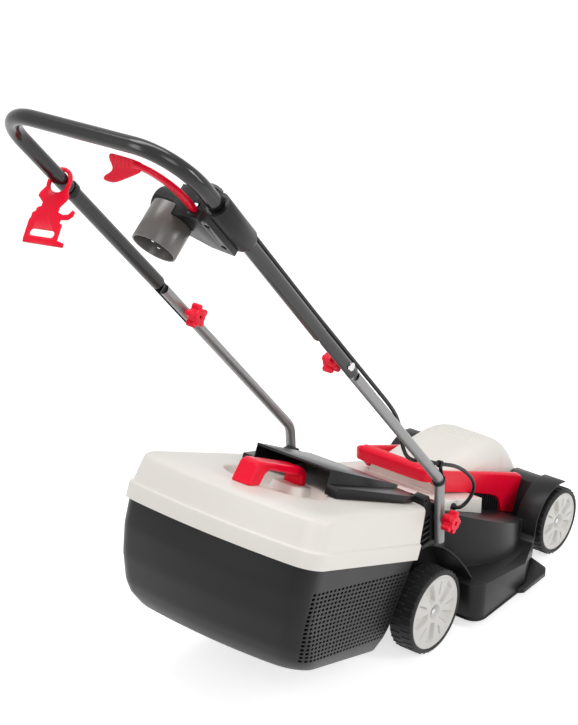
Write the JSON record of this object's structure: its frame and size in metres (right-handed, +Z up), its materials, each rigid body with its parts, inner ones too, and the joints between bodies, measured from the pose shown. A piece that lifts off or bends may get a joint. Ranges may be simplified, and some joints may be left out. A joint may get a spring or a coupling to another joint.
{
  "type": "push lawn mower",
  "caption": "Electric push lawn mower with a rear grass box, a hinged rear flap, a folding tubular handle with switch unit and plug inlet, and a rotary blade under a moulded deck.",
  "frame": {"origin": "under the middle of the whole mower, on the ground", "axes": "+X to the walker's right, +Y forward, +Z up"},
  "size_m": [0.486, 1.1836, 1.1464],
  "materials": {
    "tyre": "moulded black tyre, cross bars in the tread, satin side wall",
    "rim_plastic": "pale grey moulded plastic, fine grain",
    "axle_steel": "bright turned steel",
    "deck_plastic": "charcoal moulded plastic, fine satin grain",
    "flap_plastic": "black moulded plastic, satin",
    "light_shell": "warm off-white moulded plastic, satin",
    "red_plastic": "signal red moulded plastic, semi-gloss",
    "tub_plastic": "charcoal moulded plastic, satin",
    "lower_tube_coat": "grey powder coat, satin",
    "handle_coat": "black enamel, glossy",
    "housing_plastic": "black moulded plastic, satin",
    "inlet_plastic": "dark grey moulded plastic, satin sheen",
    "button_plastic": "grey moulded plastic, ribbed",
    "cable_sheath": "black round mains lead",
    "motor_steel": "zinc-plated sheet",
    "motor_iron": "laminated iron with enamelled windings",
    "machined_steel": "ground steel",
    "fan_plastic": "black moulded plastic",
    "holder_alloy": "die-cast alloy",
    "capacitor_case": "drawn aluminium can",
    "blade_steel": "hardened steel bar, black finish"
  },
  "bodies": {
    "chassis": {"rear_axle": "axle_steel", "front_axle": "axle_steel", "axle_caps": "axle_steel", "deck_housing": "deck_plastic", "lawn_comb_right": "deck_plastic", "lawn_comb_left": "deck_plastic", "motor_can": "motor_steel", "motor_bearings": "machined_steel", "motor_stator": "motor_iron", "motor_hood": "light_shell", "capacitor": "capacitor_case", "carry_bow": "red_plastic", "rear_cover": "light_shell", "vent_grilles": "deck_plastic", "handle_brackets": "deck_plastic", "base_bolts": "axle_steel", "lower_tube_right": "lower_tube_coat", "lower_tube_left": "lower_tube_coat", "flap_hinge_rod": "axle_steel", "flap_springs": "machined_steel", "cable_lower_run": "cable_sheath", "cable_loop": "cable_sheath", "cable_gland": "housing_plastic", "cable_clip": "housing_plastic"},
    "cutter": {"motor_shaft": "machined_steel", "rotor": "motor_iron", "cooling_fan": "fan_plastic", "blade_holder": "holder_alloy", "cutting_blade": "blade_steel", "blade_bolt": "machined_steel"},
    "flap": {"rear_flap": "flap_plastic"},
    "grass_box": {"box_lid": "light_shell", "box_tub": "tub_plastic", "box_handle": "red_plastic"},
    "handle": {"upper_handle": "handle_coat", "fold_bolts": "axle_steel", "switch_housing_outer": "housing_plastic", "switch_housing_inner": "housing_plastic", "housing_screws": "axle_steel", "plug_inlet": "inlet_plastic", "plug_pins": "axle_steel", "microswitch": "fan_plastic", "tube_collar": "housing_plastic", "cable_upper_run": "cable_sheath", "cable_fold_bend": "cable_sheath"},
    "lever": {"switch_lever": "red_plastic"},
    "button": {"release_button": "button_plastic"},
    "hook": {"cable_hook": "red_plastic"},
    "knob_base_right": {"base_knob_right": "red_plastic"},
    "knob_base_left": {"base_knob_left": "red_plastic"},
    "knob_fold_right": {"fold_knob_right": "red_plastic"},
    "knob_fold_left": {"fold_knob_left": "red_plastic"},
    "wheel_rear_right": {"rear_tyre_right": "tyre", "rear_rim_right": "rim_plastic"},
    "wheel_rear_left": {"rear_tyre_left": "tyre", "rear_rim_left": "rim_plastic"},
    "wheel_front_right": {"front_tyre_right": "tyre", "front_rim_right": "rim_plastic"},
    "wheel_front_left": {"front_tyre_left": "tyre", "front_rim_left": "rim_plastic"}
  },
  "joints": [
    {"name": "cutter_spin", "type": "hinge", "parent": "chassis", "child": "cutter", "pos_m": [0, 0.32475, 0.046], "axis": [0, 0, 1], "continuous": true},
    {"name": "flap_lift", "type": "hinge", "parent": "chassis", "child": "flap", "pos_m": [0, 0.08575, 0.2945], "axis": [1, 0, 0], "range_deg": [-65, 0], "stiffness_Nm_per_rad": 0.1, "springref_deg": 11.46},
    {"name": "box_slide", "type": "slide", "parent": "chassis", "child": "grass_box", "axis": [0, -0.9267, 0.3758], "range_m": [0, 0.26]},
    {"name": "handle_fold", "type": "hinge", "parent": "chassis", "child": "handle", "pos_m": [0, -0.17724, 0.66914], "axis": [1, 0, 0], "range_deg": [-145, 0], "deforming": ["cable_fold_bend"]},
    {"name": "lever_pull", "type": "hinge", "parent": "handle", "child": "lever", "pos_m": [0.148, -0.49585, 1.01503], "axis": [1, 0, 0], "range_deg": [-8, 0], "stiffness_Nm_per_rad": 0.6, "springref_deg": 11.46},
    {"name": "button_press", "type": "slide", "parent": "handle", "child": "button", "axis": [0, -0.7581, -0.6521], "range_m": [0, 0.004], "stiffness_N_per_m": 300, "springref_m": -0.002},
    {"name": "hook_swing", "type": "hinge", "parent": "handle", "child": "hook", "pos_m": [-0.18224, -0.44269, 0.99696], "axis": [0.9613, 0.2756, 0], "range_deg": [-6, 14]},
    {"name": "base_knob_turn_right", "type": "hinge", "parent": "chassis", "child": "knob_base_right", "pos_m": [0.18285, 0.11775, 0.25], "axis": [1, 0, 0], "continuous": true},
    {"name": "fold_knob_turn_right", "type": "hinge", "parent": "handle", "child": "knob_fold_right", "pos_m": [0.16315, -0.17724, 0.66914], "axis": [1, 0, 0], "continuous": true},
    {"name": "rear_wheel_roll_right", "type": "hinge", "parent": "chassis", "child": "wheel_rear_right", "pos_m": [0.18, 0.06975, 0.0825], "axis": [1, 0, 0], "continuous": true},
    {"name": "front_wheel_roll_right", "type": "hinge", "parent": "chassis", "child": "wheel_front_right", "pos_m": [0.18, 0.51775, 0.07], "axis": [1, 0, 0], "continuous": true},
    {"name": "base_knob_turn_left", "type": "hinge", "parent": "chassis", "child": "knob_base_left", "pos_m": [-0.18285, 0.11775, 0.25], "axis": [1, 0, 0], "continuous": true},
    {"name": "fold_knob_turn_left", "type": "hinge", "parent": "handle", "child": "knob_fold_left", "pos_m": [-0.16315, -0.17724, 0.66914], "axis": [1, 0, 0], "continuous": true},
    {"name": "rear_wheel_roll_left", "type": "hinge", "parent": "chassis", "child": "wheel_rear_left", "pos_m": [-0.18, 0.06975, 0.0825], "axis": [1, 0, 0], "continuous": true},
    {"name": "front_wheel_roll_left", "type": "hinge", "parent": "chassis", "child": "wheel_front_left", "pos_m": [-0.18, 0.51775, 0.07], "axis": [1, 0, 0], "continuous": true}
  ]
}
